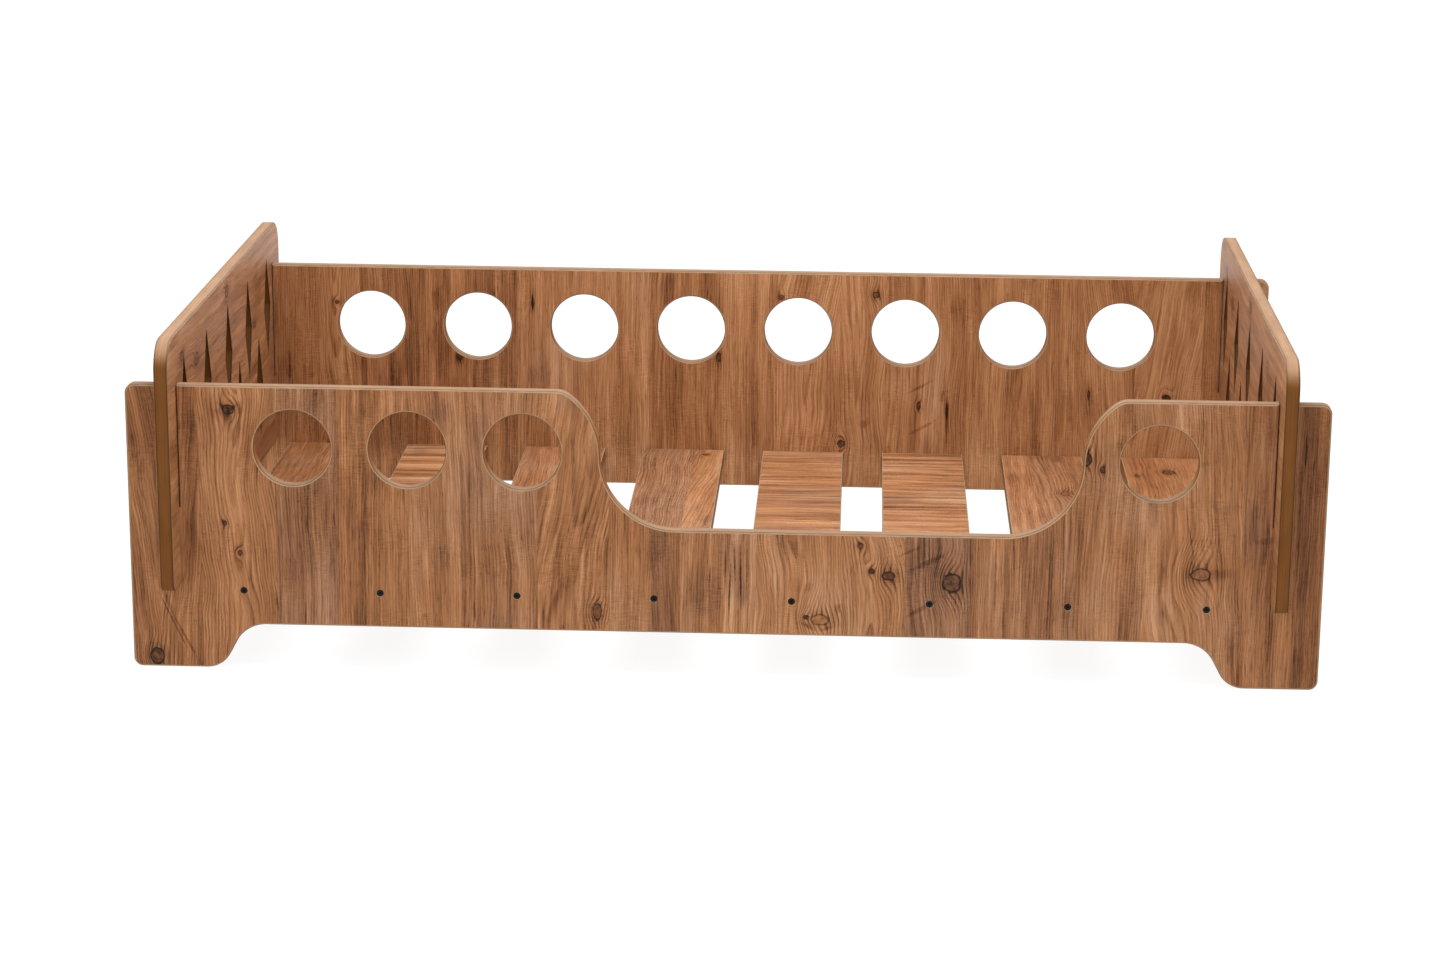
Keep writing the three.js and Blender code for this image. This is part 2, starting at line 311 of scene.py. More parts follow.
def board(name, outlines, place, grain_along_first, cut_outs=(), screw_holes=(), heads_below=False):
    """A board with rounded edges: outlines are its outside and its round holes.

    screw_holes are countersunk from the upper face, or from the lower one with heads_below.
    Walls in cut_outs and between two points whose rounding is SLOT_ROUNDING are painted dark with
    shade.
    place takes (along, up, out) to the bed's frame; out is 0 in the middle of the board. The UV map
    holds metres: (across the grain, along the grain) on the faces, (along the edge, depth) on edges.
    """
    mesh = bmesh.new()
    grain = mesh.loops.layers.uv.new("grain")
    upper, lower = [], []
    run_start = 0.0
    for outline in [*outlines, *cut_outs, *screw_holes]:
        moves = mitres(outline)
        if outline in screw_holes:
            drawn = countersink_rings(outline, moves, heads_below)
        else:
            drawn = edge_rings(outline, moves)
        # Walls of cut-outs, slots and the slats' ends get the slot that is painted dark with shade.
        slots = [PAINTED_SHADE_SLOT if outline in cut_outs or r == outline[i - 1][2] == SLOT_ROUNDING else EDGE
                 for i, (_, _, r) in enumerate(outline)]
        rings = [[mesh.verts.new(place @ Vector((x, y, BOARD / 2 - depth))) for x, y, depth in ring]
                 for ring in drawn]
        depths = [[depth for _, _, depth in ring] for ring in drawn]
        upper.append([(v, place.inverted() @ v.co) for v in rings[0]])
        lower.append([(v, place.inverted() @ v.co) for v in rings[-1]])
        runs = [run_start]
        for i, point in enumerate(outline):
            runs.append(runs[-1] + math.dist(point[:2], outline[(i + 1) % len(outline)][:2]))
        run_start = runs[-1] + OUTLINE_SHIFT
        add_walls(mesh, grain, rings, depths, runs, slots)
        sharpen(mesh, rings, moves)
    add_printed_face(mesh, grain, upper, PRINT_UP, (0, 0), grain_along_first)
    add_printed_face(mesh, grain, lower, PRINT_DOWN, HIDDEN_SHIFT, grain_along_first)
    bmesh.ops.recalc_face_normals(mesh, faces=mesh.faces)
    return object_from(mesh, name)


def axes(first, second, origin):
    """The matrix that takes a board's (along, up, out) to the bed's frame."""
    out = Vector(first).cross(Vector(second))
    columns = Matrix((first, second, out)).transposed()
    return Matrix.Translation(origin) @ columns.to_4x4()


# ---- screws ----

SCREW_SIDES = 36
SCREW_HEAD_RADIUS = 0.0044
SCREW_RADIUS = 0.0025
SCREW_LENGTH = 0.0500
SOCKET_RADIUS = 0.0019
SOCKET_DEPTH = 0.0022
SOCKET_BEVEL = 0.0002
SOCKET_TIP_RADIUS = 0.0008
SOCKET_TIP_DEPTH = 0.0003

# (radius, height) from the point up the shank and the cone of the head to the rim of its face
SCREW_PROFILE = (
    (0.0012, -SCREW_LENGTH), (SCREW_RADIUS, -0.0450), (SCREW_RADIUS, -0.0026), (0.0043, -0.0007),
    (SCREW_HEAD_RADIUS, -0.0006), (SCREW_HEAD_RADIUS, -0.00025), (0.00425, -0.00005), (0.0040, 0.0),
)


def hexagon_reach(angle, radius):
    """How far a hexagon with corners at that radius reaches at an angle."""
    sixth = math.pi / 3
    return radius * math.cos(sixth / 2) / math.cos(angle % sixth - sixth / 2)


def screw(name, place):
    """A countersunk screw with a hexagon socket. Its head faces +Z and its top is at the origin."""
    angles = [2 * math.pi * i / SCREW_SIDES for i in range(SCREW_SIDES)]
    rings = [[(r, z)] * SCREW_SIDES for r, z in SCREW_PROFILE]
    for radius, z in ((SOCKET_RADIUS + SOCKET_BEVEL, 0.0), (SOCKET_RADIUS, -SOCKET_BEVEL),
                      (SOCKET_RADIUS, -SOCKET_DEPTH),
                      (SOCKET_TIP_RADIUS, -SOCKET_DEPTH - SOCKET_TIP_DEPTH)):
        rings.append([(hexagon_reach(a, radius), z) for a in angles])
    mesh = bmesh.new()
    made = [[mesh.verts.new(place @ Vector((r * math.cos(a), r * math.sin(a), z)))
             for (r, z), a in zip(ring, angles)] for ring in rings]
    for lower, upper in zip(made, made[1:]):
        for i in range(SCREW_SIDES):
            j = (i + 1) % SCREW_SIDES
            mesh.faces.new((lower[i], lower[j], upper[j], upper[i])).smooth = True
    mesh.faces.new(reversed(made[0]))
    mesh.faces.new(made[-1])
    bmesh.ops.recalc_face_normals(mesh, faces=mesh.faces)
    for edge in mesh.edges:
        if edge.calc_face_angle(0) > SHARP_TURN:
            edge.smooth = False
    return object_from(mesh, name)


# ---- node helpers ----


class Graph:
    """Builds a node tree from short calls. An input is a socket, a number or a vector."""

    def __init__(self, tree):
        self.tree = tree

    def node(self, kind, **settings):
        made = self.tree.nodes.new(kind)
        for key, value in settings.items():
            setattr(made, key, value)
        return made

    def put(self, socket, value):
        if isinstance(value, bpy.types.NodeSocket):
            self.tree.links.new(value, socket)
        else:
            socket.default_value = value

    def math(self, operation, *values):
        made = self.node("ShaderNodeMath", operation=operation)
        for socket, value in zip(made.inputs, values):
            self.put(socket, value)
        return made.outputs[0]

    def swing(self, field, amount, base, centre=0.5):
        """The base, moved by an amount times how far a field lies from its centre."""
        return self.math("MULTIPLY_ADD", self.math("SUBTRACT", field, centre), amount, base)

    def vector(self, operation, *values):
        made = self.node("ShaderNodeVectorMath", operation=operation)
        for socket, value in zip(made.inputs, values):
            self.put(socket, value)
        return made.outputs["Value" if operation in ("LENGTH", "DOT_PRODUCT") else "Vector"]

    def combine(self, x, y, z=0.0):
        made = self.node("ShaderNodeCombineXYZ")
        for socket, value in zip(made.inputs, (x, y, z)):
            self.put(socket, value)
        return made.outputs[0]

    def separate(self, vector):
        made = self.node("ShaderNodeSeparateXYZ")
        self.put(made.inputs[0], vector)
        return made.outputs

    def noise(self, vector, detail=2.0, roughness=0.5):
        made = self.node("ShaderNodeTexNoise", noise_dimensions="3D")
        self.put(made.inputs["Vector"], vector)
        made.inputs["Scale"].default_value = 1.0
        made.inputs["Detail"].default_value = detail
        made.inputs["Roughness"].default_value = roughness
        return made.outputs["Fac"]

    def waves(self, first, second, first_rate, second_rate, layer=0.0, detail=2.0, roughness=0.5):
        """Noise over two coordinates, with its own number of waves per metre in each."""
        place = self.combine(self.math("MULTIPLY", first, first_rate),
                             self.math("MULTIPLY", second, second_rate), layer)
        return self.noise(place, detail, roughness)

    def smooth(self, value, low, high, to_low=0.0, to_high=1.0):
        made = self.node("ShaderNodeMapRange", interpolation_type="SMOOTHSTEP")
        for socket, item in zip(made.inputs, (value, low, high, to_low, to_high)):
            self.put(socket, item)
        return made.outputs[0]

    def ramp(self, value, stops, interpolation="LINEAR"):
        made = self.node("ShaderNodeValToRGB")
        made.color_ramp.interpolation = interpolation
        elements = made.color_ramp.elements
        while len(elements) > 1:
            elements.remove(elements[-1])
        for i, (position, colour) in enumerate(stops):
            element = elements[0] if i == 0 else elements.new(position)
            element.position = position
            element.color = (*colour, 1.0)
        self.put(made.inputs[0], value)
        return made.outputs[0]

    def mix(self, amount, first, second, blend="MIX"):
        made = self.node("ShaderNodeMix", data_type="RGBA", blend_type=blend)
        for name, value in (("Factor_Float", amount), ("A_Color", first), ("B_Color", second)):
            socket = next(s for s in made.inputs if s.identifier == name)
            self.put(socket, (*value, 1.0) if isinstance(value, tuple) else value)
        return next(s for s in made.outputs if s.identifier == "Result_Color")


def new_material(name):
    material = bpy.data.materials.new(name)
    material.use_nodes = True
    graph = Graph(material.node_tree)
    shader = material.node_tree.nodes["Principled BSDF"]
    return material, graph, shader


def add_bump(graph, shader, height, strength, distance):
    bump = graph.node("ShaderNodeBump")
    bump.inputs["Strength"].default_value = strength
    bump.inputs["Distance"].default_value = distance
    graph.put(bump.inputs["Height"], height)
    graph.tree.links.new(bump.outputs[0], shader.inputs["Normal"])


# ---- wood print ----

WOOD_TONES = (                    # (tone, colour)
    (0.00, (0.018, 0.008, 0.004)),
    (0.18, (0.066, 0.025, 0.010)),
    (0.36, (0.150, 0.057, 0.022)),
    (0.54, (0.245, 0.098, 0.037)),
    (0.72, (0.335, 0.147, 0.061)),
    (1.00, (0.500, 0.260, 0.125)),
)
GREYER = (0.86, 1.02, 1.42)       # what the colour is multiplied by where it is fully grey
WARMER = (1.06, 0.95, 0.84)
RING_PITCH = 0.0035
SEED_SPREAD = 37.0                # how far apart the staves' noise may lie


def grain_line(g, given, u, v, seed):
    """The grain's own sideways coordinate: it leans, wanders, trembles and gives way to knots."""
    wander = g.waves(u, v, 5.0, 4.5, seed)
    wander = g.math("MULTIPLY", g.math("SUBTRACT", wander, 0.5),
                    g.math("MULTIPLY_ADD", given["Figure"], 0.055, 0.012))
    lean = g.math("MULTIPLY", v, g.math("SUBTRACT", given["Lean"], 0.5))
    tremble = g.waves(u, v, 120.0, 45.0, seed)
    wander = g.swing(tremble, 0.0022, wander)
    return g.math("ADD", g.math("SUBTRACT", u, given["Push"]), g.math("ADD", wander, lean))


def year_rings(g, given, u, v, across, seed):
    """From straight lines to the nested arches of a board cut off the heart."""
    figure = given["Figure"]
    offset = g.math("SUBTRACT", across, given["Centre"])
    tilt = g.math("ABSOLUTE", g.math("SUBTRACT", v, 0.12))
    tilt = g.math("MULTIPLY_ADD", tilt, -0.065, 0.022)
    height = g.waves(u, v, 5.0, 4.0, seed, 1.0)
    tilt = g.math("ADD", tilt, g.math("MULTIPLY", g.math("SUBTRACT", height, 0.5), 0.014))
    arch = g.math("SQRT", g.math("ADD", g.math("MULTIPLY", offset, offset),
                                 g.math("MULTIPLY", tilt, tilt)))
    radius = g.math("ADD", g.math("MULTIPLY", arch, figure),
                    g.math("MULTIPLY", offset, g.math("SUBTRACT", 1.0, figure)))
    radius = g.math("ADD", radius, given["Bulge"])
    spacing = g.waves(across, v, 40.0, 1.5, seed, 1.0)
    turns = g.math("MULTIPLY_ADD", radius, 1 / RING_PITCH, g.math("MULTIPLY", spacing, 3.0))
    phase = g.math("FRACT", turns)
    rise = g.smooth(phase, 0.35, 0.86)
    fall = g.smooth(phase, 0.90, 1.0, 1.0, 0.0)
    ring = g.math("MULTIPLY", rise, fall)
    patchy = g.waves(across, v, 60.0, 11.0, seed, 3.0)
    patchy = g.math("MULTIPLY_ADD", figure, 0.4, g.smooth(patchy, 0.32, 0.60, 0.25, 1.0))
    near_knot = g.smooth(given["Knot"], 1.0, 4.5, 1.3, 0.0)
    return g.math("MULTIPLY", ring, g.math("ADD", patchy, near_knot))


def fibres(g, u, v, across, seed):
    """What runs with the grain: broad and narrow streaks, fibres, pores and small cracks."""
    broad = g.waves(across, v, 26.0, 1.7, seed, 3.0)
    streak = g.waves(across, v, 95.0, 3.6, seed, 4.0, 0.6)
    fibre = g.waves(across, v, 520.0, 17.0, seed, 2.0, 0.6)
    pore = g.waves(across, v, 1150.0, 85.0, seed, 1.0)
    pore = g.smooth(pore, 0.60, 0.72)
    crack = g.waves(across, v, 210.0, 11.0, seed, 3.0, 0.65)
    cracked = g.waves(u, v, 22.0, 9.0, seed, 1.0)
    crack = g.math("MULTIPLY", g.smooth(crack, 0.60, 0.74), g.smooth(cracked, 0.48, 0.64))
    return broad, streak, fibre, pore, crack


def stains(g, place, v, across, seed):
    """Grey-brown stains a few centimetres long, and wider faded clouds that cross the staves."""
    stain = g.waves(across, v, 17.0, 7.0, g.math("ADD", seed, 5.0), 4.0, 0.6)
    stain = g.smooth(stain, 0.54, 0.70)
    faded = g.noise(g.vector("MULTIPLY", place, (8.0, 7.0, 0.0)), 2.0)
    return stain, faded


def saw_lines(g, u, v, seed):
    """Faint cross lines, in places, that the saw left on the wood that was printed."""
    saw = g.waves(u, v, 90.0, 950.0, seed, 1.0)
    sawn = g.waves(u, v, 16.0, 13.0, seed, 1.0)
    return g.math("MULTIPLY", g.math("SUBTRACT", saw, 0.5), g.smooth(sawn, 0.44, 0.66))


def knot_parts(g, from_knot, u, v, seed):
    """A knot's core, its broken dark rim and its shaded halo, and the figure of its core."""
    core = g.smooth(from_knot, 0.84, 1.10, 1.0, 0.0)
    broken = g.waves(u, v, 190.0, 170.0, seed, 3.0)
    rim = g.math("MULTIPLY", g.smooth(from_knot, 0.74, 0.96), g.smooth(from_knot, 1.0, 1.14, 1.0, 0.0))
    rim = g.math("MULTIPLY", rim, g.smooth(broken, 0.22, 0.42))
    halo = g.smooth(from_knot, 0.9, 2.6, 1.0, 0.0)
    core_ring = g.math("SINE", g.math("MULTIPLY", from_knot, 21.0))
    return core, broken, rim, halo, core_ring


def wood_group():
    """The wood print: from a place on the board and its stave's character to colour and roughness."""
    tree = bpy.data.node_groups.new("wood_print", "ShaderNodeTree")
    tree.interface.new_socket("Place", in_out="INPUT", socket_type="NodeSocketVector")
    for name in ("Push", "Bulge", "Knot", "Heart", "Mark", "Centre",
                 "Tone", "Grey", "Seed", "Lean", "Contrast", "Figure"):
        tree.interface.new_socket(name, in_out="INPUT", socket_type="NodeSocketFloat")
    tree.interface.new_socket("Colour", in_out="OUTPUT", socket_type="NodeSocketColor")
    tree.interface.new_socket("Roughness", in_out="OUTPUT", socket_type="NodeSocketFloat")
    g = Graph(tree)
    given = g.node("NodeGroupInput").outputs
    place = given["Place"]
    contrast = given["Contrast"]
    u, v, _ = g.separate(place)
    seed = g.math("MULTIPLY", given["Seed"], SEED_SPREAD)
    across = grain_line(g, given, u, v, seed)
    ring = year_rings(g, given, u, v, across, seed)
    broad, streak, fibre, pore, crack = fibres(g, u, v, across, seed)
    stain, faded = stains(g, place, v, across, seed)
    saw = saw_lines(g, u, v, seed)
    speckle = g.noise(g.vector("MULTIPLY", place, (1500.0, 800.0, 0.0)), 1.0)
    core, broken, rim, halo, core_ring = knot_parts(g, given["Knot"], u, v, seed)
    outside = g.math("SUBTRACT", 1.0, core)

    tone = given["Tone"]
    for field, centre, amount in (
            (broad, 0.5, 0.55), (streak, 0.5, g.math("MULTIPLY_ADD", contrast, 1.05, 0.38)),
            (fibre, 0.5, 0.70), (ring, 0.30, g.math("MULTIPLY_ADD", given["Figure"], -0.02, -0.15)),
            (pore, 0.1, -0.19), (crack, 0.0, g.math("MULTIPLY_ADD", contrast, -0.50, -0.22)),
            (saw, 0.0, 0.40), (speckle, 0.5, 0.34), (stain, 0.0, -0.14), (faded, 0.5, 0.22)):
        tone = g.swing(field, amount, tone, centre)
    tone = g.math("MULTIPLY_ADD", halo, -0.13, tone)
    heart = g.math("MULTIPLY_ADD", core_ring, 0.03, given["Heart"])
    heart = g.swing(fibre, 0.30, heart)
    heart = g.swing(broken, 0.70, heart)
    tone = g.math("ADD", g.math("MULTIPLY", tone, outside), g.math("MULTIPLY", heart, core))
    tone = g.math("MULTIPLY_ADD", rim, -0.33, tone)
    scratchy = g.swing(fibre, 1.6, 1.0)
    tone = g.math("SUBTRACT", tone, g.math("MULTIPLY", given["Mark"], scratchy))

    # Grey staves, stains and clouds lose their warmth, and streaks gain some.
    colour = g.ramp(tone, WOOD_TONES)
    grey = g.math("MULTIPLY_ADD", given["Grey"], 2.0, -1.0)
    grey = g.swing(broad, 0.7, grey)
    grey = g.math("MULTIPLY_ADD", stain, 0.30, grey)
    grey = g.swing(faded, 1.3, grey)
    grey = g.math("MULTIPLY", g.smooth(grey, 0.2, 1.0), 0.75)
    colour = g.mix(grey, colour, g.mix(1.0, colour, GREYER, "MULTIPLY"))
    warm = g.smooth(streak, 0.50, 0.75, 0.0, 0.5)
    colour = g.mix(warm, colour, g.mix(1.0, colour, WARMER, "MULTIPLY"))

    roughness = g.math("MULTIPLY_ADD", fibre, 0.16, 0.40)
    roughness = g.math("MULTIPLY_ADD", ring, -0.05, roughness)
    roughness = g.math("MULTIPLY_ADD", crack, 0.15, roughness)
    result = g.node("NodeGroupOutput")
    g.put(result.inputs["Colour"], colour)
    g.put(result.inputs["Roughness"], roughness)
    return tree


PUSH_ACROSS = 3.4                 # the grain is pushed aside this many knot radii away
PUSH_ALONG = 4.6
PUSH_STRENGTH = 0.60
BULGE = 0.9                       # how far the year rings rise over a knot, in knot radii
KNOT_RAGGEDNESS = 0.65
KNOT_WAVES = 115.0                # waves per metre in the ragged outline of a knot
NO_KNOT = 50.0
MARK_RAGGEDNESS = 1.6
MARK_WAVES = 160.0


def knot_field(g, place, knots):
    """What the knots do to the print: the distance to the nearest in knot radii, how far they push
    the grain aside, how far they lift the year rings, and the tone of the heart there."""
    fine = g.vector("MULTIPLY", place, (KNOT_WAVES, KNOT_WAVES, 0.0))
    ragged = g.math("MULTIPLY", g.math("SUBTRACT", g.noise(fine, 3.0, 0.6), 0.5), KNOT_RAGGEDNESS)
    nearest, push, bulge, heart = NO_KNOT, 0.0, 0.0, 0.0
    for u, v, across, along, tone in knots:
        offset = g.vector("SUBTRACT", place, (u, v, 0.0))
        scaled = g.vector("MULTIPLY", offset, (1 / across, 1 / along, 0.0))
        distance = g.math("ADD", g.vector("LENGTH", scaled), ragged)
        nearest = g.math("MINIMUM", nearest, distance)
        heart = g.math("MAXIMUM", heart, g.smooth(distance, 1.2, 1.4, tone, 0.0))
        scaled = g.vector("MULTIPLY", offset,
                          (1 / (PUSH_ACROSS * across), 1 / (PUSH_ALONG * across), 0.0))
        weight = g.smooth(g.vector("LENGTH", scaled), 0.0, 1.0, 1.0, 0.0)
        aside = g.math("MULTIPLY", g.separate(offset)[0], PUSH_STRENGTH)
        push = g.math("MULTIPLY_ADD", aside, weight, push)
        bulge = g.math("MULTIPLY_ADD", weight, BULGE * across, bulge)
    return nearest, push, bulge, heart


def mark_field(g, place, marks):
    """Cracks, slashes, smudges and painted shadows, as ragged ellipses: how much darker they make each
    place.
    """
    fine = g.vector("MULTIPLY", place, (MARK_WAVES, MARK_WAVES, 0.0))
    ragged = g.math("MULTIPLY", g.math("SUBTRACT", g.noise(fine, 4.0, 0.7), 0.5), MARK_RAGGEDNESS)
    darker = 0.0
    for u, v, half_length, half_width, angle, depth in marks:
        offset = g.vector("SUBTRACT", place, (u, v, 0.0))
        ahead = Vector((math.cos(math.radians(angle)), math.sin(math.radians(angle)), 0.0))
        across = Vector((-ahead.y, ahead.x, 0.0))
        along = g.vector("DOT_PRODUCT", offset, ahead / half_length)
        aside = g.vector("DOT_PRODUCT", offset, across / half_width)
        distance = g.math("ADD", g.vector("LENGTH", g.combine(along, aside)), ragged)
        darker = g.math("MAXIMUM", darker, g.smooth(distance, 0.35, 1.1, depth, 0.0))
    return darker


def printed_material(name, staves, knots=(), marks=()):
    """Wood-print laminate. A stave is (where it ends, tone, grey, lean, contrast, figure).

    A ramp holds numbers from 0 to 1, so a stave's grey is halved and both grey and lean are moved
    up by a half. The wood print undoes that.
    """
    material, g, shader = new_material(name)
    place = g.node("ShaderNodeUVMap", uv_map="grain").outputs[0]
    start, end = staves[0], staves[-1][0]
    low = start
    looks, habits, centres = [], [], []
    for i, (high, tone, grey, lean, contrast, figure) in enumerate(staves[1:]):
        at = (low - start) / (end - start)
        seed = (i * 0.37 + len(name) * 0.11) % 1
        centre = ((low + high) / 2 - start) / (end - start)
        looks.append((at, (tone, 0.5 + grey / 2, seed)))
        habits.append((at, (0.5 + lean, contrast, figure)))
        centres.append((at, (centre, centre, centre)))
        low = high
    u = g.separate(place)[0]
    along = g.math("DIVIDE", g.math("SUBTRACT", u, start), end - start)
    stave = g.node("ShaderNodeGroup", node_tree=WOOD)
    g.put(stave.inputs["Place"], place)
    for stops, names in ((looks, ("Tone", "Grey", "Seed")), (habits, ("Lean", "Contrast", "Figure"))):
        channels = g.separate(g.ramp(along, stops, "CONSTANT"))
        for channel, socket in zip(channels, names):
            g.put(stave.inputs[socket], channel)
    centre = g.separate(g.ramp(along, centres, "CONSTANT"))[0]
    g.put(stave.inputs["Centre"], g.math("MULTIPLY_ADD", centre, end - start, start))
    for socket, value in zip(("Knot", "Push", "Bulge", "Heart"), knot_field(g, place, knots)):
        g.put(stave.inputs[socket], value)
    g.put(stave.inputs["Mark"], mark_field(g, place, marks))
    g.put(shader.inputs["Base Color"], stave.outputs["Colour"])
    g.put(shader.inputs["Roughness"], stave.outputs["Roughness"])
    shader.inputs["IOR"].default_value = 1.35
    shader.inputs["Specular Tint"].default_value = (0.60, 0.50, 0.45, 1.0)
    # The laminate is embossed with fine pores along the grain and a finer weave across it.
    pores = g.noise(g.vector("MULTIPLY", place, (900.0, 45.0, 0.0)), 2.0, 0.6)
    weave = g.noise(g.vector("MULTIPLY", place, (260.0, 1100.0, 0.0)), 1.0)
    add_bump(g, shader, g.math("MULTIPLY_ADD", weave, 0.6, pores), 0.35, 0.0003)
    return material


def plain_staves(seed, start, end, tone):
    """Staves of a face that the photo doesn't show."""
    draw = random.Random(seed)
    staves = [start]
    at = start
    while at < end:
        at += draw.uniform(0.07, 0.12)
        staves.append((at, tone + draw.uniform(-0.09, 0.09), draw.uniform(0.1, 0.8),
                       draw.uniform(-0.06, 0.06), draw.uniform(0.1, 0.6),
                       draw.choice((0.0, 0.0, 0.2, 0.8, 1.0))))
    return staves


def plain_knots(seed, low, high, count):
    draw = random.Random(seed)
    knots = []
    for _ in range(count):
        size = draw.choice((0.003, 0.004, 0.007, 0.010))
        knots.append((draw.uniform(low[0], high[0]), draw.uniform(low[1], high[1]),
                      size, size * draw.uniform(1.0, 1.5), draw.uniform(0.26, 0.44)))
    return knots


# (part of the way from a face to the middle of the board, colour)
EDGE_LAYERS = (
    (0.000, (0.320, 0.210, 0.125)),
    (0.050, (0.290, 0.165, 0.088)),
    (0.090, (0.120, 0.046, 0.013)),
    (0.200, (0.160, 0.059, 0.017)),
    (0.330, (0.225, 0.087, 0.025)),
    (1.000, (0.240, 0.094, 0.027)),
)


def edge_material(name, tone, painted_top_tone, gloss=0.12):
    """A board's edge: a pale line of laminate, a darker rim and a tan core, with painted light where
    it faces up.

    tone is its brightness on upright walls, painted_top_tone its brightness under the painted light
    where it faces up.
    """
    material, g, shader = new_material(name)
    run, depth, _ = g.separate(g.node("ShaderNodeUVMap", uv_map="grain").outputs[0])
    from_face = g.math("MINIMUM", depth, g.math("SUBTRACT", BOARD, depth))
    uneven = g.waves(run, depth, 60.0, 90.0)
    from_face = g.swing(uneven, 0.0007, from_face)
    colour = g.ramp(g.math("DIVIDE", from_face, BOARD / 2), EDGE_LAYERS)
    lines = g.waves(run, depth, 7.0, 620.0, 0.0, 3.0, 0.65)
    blotch = g.waves(run, depth, 26.0, 60.0, 4.0, 3.0)
    speck = g.waves(run, depth, 900.0, 1500.0, 8.0, 1.0)
    shade = g.swing(lines, 0.85, 1.0)
    shade = g.swing(blotch, 0.40, shade)
    shade = g.math("MULTIPLY_ADD", g.smooth(speck, 0.60, 0.75), -0.16, shade)
    # Painted light and sheen: where the edge faces up it is made lighter and less saturated, in place
    # of the light from above.
    facing = g.separate(g.node("ShaderNodeTexCoord").outputs["Normal"])[2]
    painted_light_mask = g.smooth(facing, 0.15, 0.80)
    painted_top_light = g.node("ShaderNodeHueSaturation")
    g.put(painted_top_light.inputs["Hue"], g.math("MULTIPLY_ADD", painted_light_mask, 0.011, 0.5))
    g.put(painted_top_light.inputs["Saturation"], g.math("MULTIPLY_ADD", painted_light_mask, -0.28, 1.0))
    g.put(painted_top_light.inputs["Value"], g.math("MULTIPLY_ADD", painted_light_mask, painted_top_tone - tone, tone))
    g.put(painted_top_light.inputs["Color"], g.mix(1.0, colour, g.combine(shade, shade, shade), "MULTIPLY"))
    g.put(shader.inputs["Base Color"], painted_top_light.outputs[0])
    g.put(shader.inputs["Roughness"], g.math("MULTIPLY_ADD", lines, 0.20, 0.60))
    shader.inputs["IOR"].default_value = 1.43
    shader.inputs["Specular IOR Level"].default_value = gloss
    shader.inputs["Specular Tint"].default_value = (0.50, 0.25, 0.10, 1.0)
    height = g.math("MULTIPLY_ADD", speck, -0.4, lines)
    add_bump(g, shader, height, 0.30, 0.0003)
    return material


def black_steel():
    """Black oxide with a fine grain and faintly lighter patches."""
    material, g, shader = new_material("black_oxide")
    place = g.node("ShaderNodeTexCoord").outputs["Object"]
    grain = g.noise(g.vector("MULTIPLY", place, (3000.0, 3000.0, 3000.0)), 3.0, 0.6)
    patch = g.noise(g.vector("MULTIPLY", place, (500.0, 500.0, 500.0)), 2.0)
    colour = g.ramp(patch, ((0.30, (0.004, 0.004, 0.004)), (0.75, (0.012, 0.011, 0.010))))
    g.put(shader.inputs["Base Color"], colour)
    g.put(shader.inputs["Roughness"], g.math("MULTIPLY_ADD", grain, 0.25, 0.36))
    shader.inputs["IOR"].default_value = 1.22
    add_bump(g, shader, grain, 0.25, 0.00005)
    return material


WOOD = wood_group()

# (across the grain, along the grain, half width, half length, tone of the heart) of each knot
FRONT_KNOTS = (
    (-0.638, 0.349, 0.008, 0.006, 0.22), (-0.647, 0.197, 0.003, 0.003, 0.18),
    (-0.628, 0.157, 0.003, 0.004, 0.16), (-0.741, 0.014, 0.009, 0.011, 0.24),
    (-0.163, 0.087, 0.006, 0.011, 0.34), (0.126, 0.082, 0.012, 0.007, 0.62),
    (0.109, 0.085, 0.004, 0.003, 0.12), (0.177, 0.183, 0.004, 0.004, 0.22),
    (0.192, 0.149, 0.004, 0.004, 0.18), (0.214, 0.143, 0.008, 0.006, 0.24),
    (0.296, 0.135, 0.012, 0.013, 0.28), (0.615, 0.153, 0.013, 0.008, 0.44),
    (0.463, 0.304, 0.007, 0.009, 0.16), (0.484, 0.290, 0.003, 0.004, 0.20),
)
BACK_KNOTS = (
    (-0.609, 0.332, 0.003, 0.003, 0.22), (-0.426, 0.251, 0.004, 0.005, 0.30),
    (-0.316, 0.335, 0.002, 0.010, 0.26), (-0.038, 0.257, 0.003, 0.007, 0.22),
    (0.054, 0.350, 0.004, 0.004, 0.30), (0.146, 0.128, 0.005, 0.006, 0.26),
    (0.194, 0.356, 0.005, 0.005, 0.26), (0.261, 0.188, 0.003, 0.006, 0.24),
    (0.303, 0.181, 0.002, 0.012, 0.20), (0.513, 0.209, 0.002, 0.007, 0.18),
    (0.628, 0.207, 0.006, 0.005, 0.16),
)
